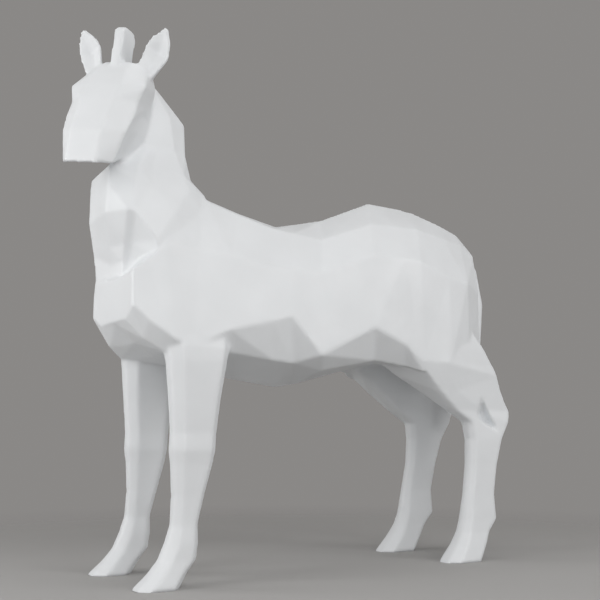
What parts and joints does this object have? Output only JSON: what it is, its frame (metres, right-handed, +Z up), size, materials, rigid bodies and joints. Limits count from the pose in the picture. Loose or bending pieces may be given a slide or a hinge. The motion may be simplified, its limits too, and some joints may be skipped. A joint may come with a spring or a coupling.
{
  "type": "standing zebra figure",
  "caption": "Faceted, life-size standing zebra figure in white painted fibreglass, its head turned to its left, made as one hollow shell that stands on its hooves.",
  "frame": {"origin": "on the ground, under the middle of the whole figure's box", "axes": "+Z up, -Y the way the body faces, +X the figure's own left, to which its head turns"},
  "size_m": [0.468, 1.6692, 1.6803],
  "materials": {
    "painted_white": "white gelcoat paint, matt to satin"
  },
  "bodies": {
    "root": {"zebra": "painted_white"}
  },
  "joints": []
}
